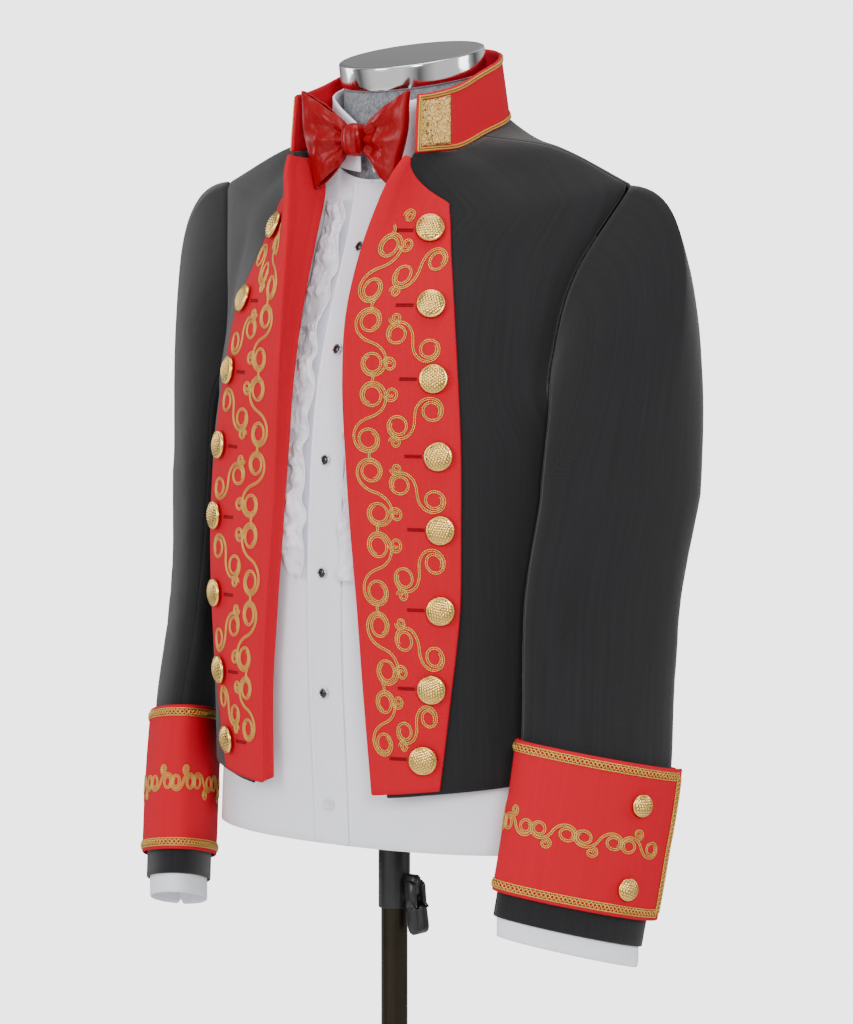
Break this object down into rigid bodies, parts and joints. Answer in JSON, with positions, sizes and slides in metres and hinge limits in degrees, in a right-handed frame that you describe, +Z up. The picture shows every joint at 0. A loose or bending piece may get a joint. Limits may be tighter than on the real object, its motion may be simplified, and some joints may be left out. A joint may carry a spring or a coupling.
{
  "type": "suit on dress form stand",
  "caption": "Open mess-style suit jacket with turned-back decorated lapels, ruffled bib shirt and bow tie, on a limbless dress form with a height-adjustable stand.",
  "frame": {"origin": "on the floor, at the centre of the base disc's underside, under the pole's axis", "axes": "+Z up along the pole; -Y towards the front of the jacket; +X towards the wearer's left"},
  "size_m": [0.5338, 0.39, 1.5194],
  "materials": {
    "wool": "smooth black worsted wool with a faint slub",
    "red_cloth": "bright red wool facing cloth",
    "gold_cloth": "gold metallic thread cloth",
    "satin": "red satin with a soft sheen",
    "cotton": "white cotton, lightly crumpled",
    "gold": "domed buttons with a scaled texture, gold plated",
    "onyx": "polished black inlay in a bright rim",
    "pearl": "white shirt button",
    "heather": "grey heather jersey over a padded form",
    "chrome": "polished cap",
    "black_metal": "black, semi-gloss",
    "bronze": "dark bronze, polished"
  },
  "bodies": {
    "stand": {"base_disc": "black_metal", "pole": "bronze"},
    "form": {"jacket_front_left": "wool", "sleeve_top_left": "wool", "sleeve_under_left": "wool", "lapel_left": "red_cloth", "cuff_left": "red_cloth", "collar_patch_left": "gold_cloth", "shirt_front_left": "cotton", "shirt_sleeve_left": "cotton", "shirt_cuff_left": "cotton", "ruffle_left": "cotton", "bow_wing_left": "satin", "button_left_1": "gold", "button_left_2": "gold", "button_left_3": "gold", "button_left_4": "gold", "button_left_5": "gold", "button_left_6": "gold", "button_left_7": "gold", "button_left_8": "gold", "cuff_button_left_1": "gold", "cuff_button_left_2": "gold", "jacket_front_right": "wool", "sleeve_top_right": "wool", "sleeve_under_right": "wool", "lapel_right": "red_cloth", "cuff_right": "red_cloth", "collar_patch_right": "gold_cloth", "shirt_front_right": "cotton", "shirt_sleeve_right": "cotton", "shirt_cuff_right": "cotton", "ruffle_right": "cotton", "bow_wing_right": "satin", "button_right_1": "gold", "button_right_2": "gold", "button_right_3": "gold", "button_right_4": "gold", "button_right_5": "gold", "button_right_6": "gold", "button_right_7": "gold", "button_right_8": "gold", "cuff_button_right_1": "gold", "cuff_button_right_2": "gold", "jacket_back": "wool", "collar": "red_cloth", "bow_knot": "satin", "shirt_back": "cotton", "shirt_collar": "cotton", "placket": "cotton", "stud_1": "onyx", "stud_2": "onyx", "stud_3": "onyx", "stud_4": "onyx", "stud_5": "onyx", "shirt_button": "pearl", "form_torso": "heather", "neck_cap": "chrome", "socket_tube": "black_metal"},
    "lever": {"clamp_lever": "black_metal"}
  },
  "joints": [
    {"name": "height_slide", "type": "slide", "parent": "stand", "child": "form", "axis": [0, 0, 1], "range_m": [0, 0.22]},
    {"name": "lever_hinge", "type": "hinge", "parent": "form", "child": "lever", "pos_m": [0.0215, 0, 0.812], "axis": [0, -1, 0], "range_deg": [0, 80]}
  ]
}
